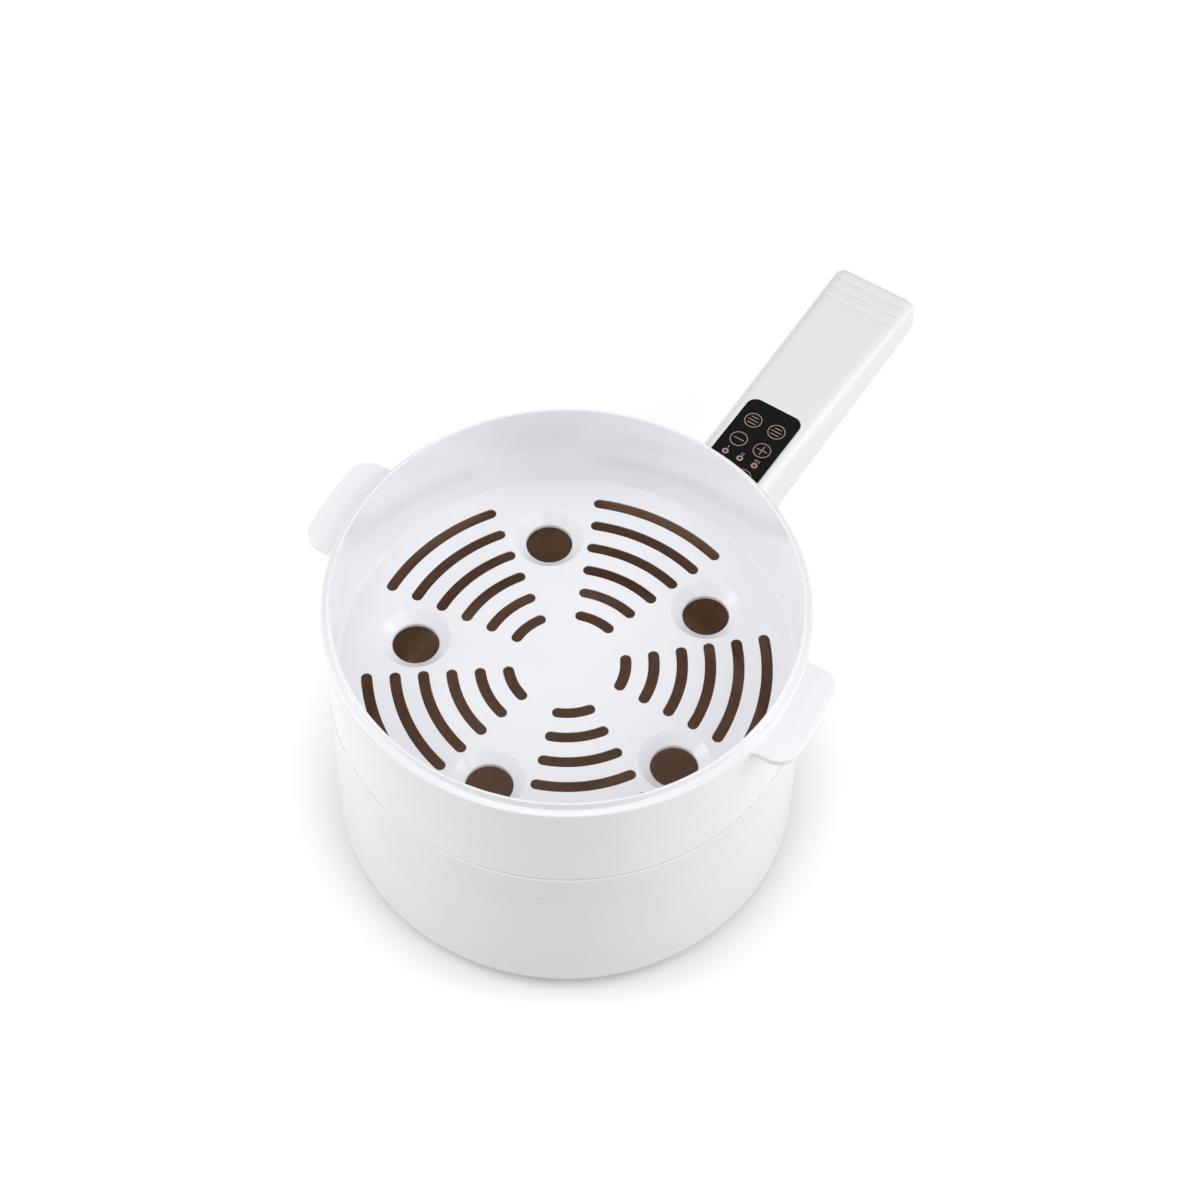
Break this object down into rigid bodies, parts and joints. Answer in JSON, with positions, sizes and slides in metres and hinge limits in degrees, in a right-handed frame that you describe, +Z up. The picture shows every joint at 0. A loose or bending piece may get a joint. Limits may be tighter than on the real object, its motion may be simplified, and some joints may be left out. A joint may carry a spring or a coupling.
{
  "type": "electric hot pot with steamer basket",
  "caption": "Round white electric pot on low feet, with a straight touch-control handle and a lift-off steamer basket with slots, egg seats and two side ears.",
  "frame": {"origin": "centre of the round pot, on the surface it stands on", "axes": "+Z up, +X from the pot along the handle"},
  "size_m": [0.361, 0.2282, 0.15],
  "materials": {
    "white_plastic": "glossy white polypropylene",
    "white_satin": "fine satin white ABS",
    "brown_coating": "brown non-stick coating on aluminium",
    "black_acrylic": "polished black",
    "copper_print": "printed copper colour",
    "lamp_lens": "clear",
    "silicone": "soft grey",
    "foot_rubber": "matte",
    "cast_aluminium": "cast",
    "steel": "zinc plated",
    "stainless_tube": "heat-tinted",
    "bakelite": "moulded",
    "glass_sleeve": "braided glass fibre",
    "circuit_board": "solder mask",
    "black_plastic": "moulded",
    "blue_case": "moulded",
    "yellow_case": "moulded",
    "natural_nylon": "moulded",
    "plated_brass": "nickel plated",
    "spring_wire": "plated",
    "wire_silicone": "smooth",
    "wire_grey": "smooth"
  },
  "bodies": {
    "pot": {"rim_collar": "white_plastic", "outer_shell": "white_plastic", "inner_pot": "brown_coating", "pot_seal": "silicone", "heating_disc": "cast_aluminium", "heating_tube": "stainless_tube", "tube_terminals": "steel", "heat_shield": "steel", "tie_studs": "steel", "tie_nuts": "steel", "shield_screws": "steel", "thermostat": "bakelite", "temperature_sensor": "cast_aluminium", "sensor_strap": "steel", "strap_screw": "steel", "thermal_fuse": "glass_sleeve", "fuse_clip": "steel", "base_cover": "white_satin", "base_feet": "foot_rubber", "cover_screws": "steel", "handle_upper": "white_plastic", "handle_lower": "white_plastic", "handle_screws": "steel", "handle_bracket": "steel", "bracket_screws": "steel", "touch_panel": "black_acrylic", "light_windows": "lamp_lens", "key_legends": "copper_print", "touch_board": "circuit_board", "touch_springs": "spring_wire", "indicator_leds": "lamp_lens", "touch_chips": "black_plastic", "board_screws": "steel", "power_board": "circuit_board", "lead_block": "natural_nylon", "relay": "blue_case", "capacitor": "yellow_case", "mains_inlet": "black_plastic", "inlet_pins": "plated_brass", "heater_leads": "wire_silicone", "sensor_lead": "wire_grey", "inlet_leads": "wire_grey", "board_link": "wire_grey"},
    "steamer": {"steamer_basket": "white_plastic"}
  },
  "joints": [
    {"name": "steamer_lift", "type": "slide", "parent": "pot", "child": "steamer", "axis": [0, 0, 1], "range_m": [0, 0.06]}
  ]
}
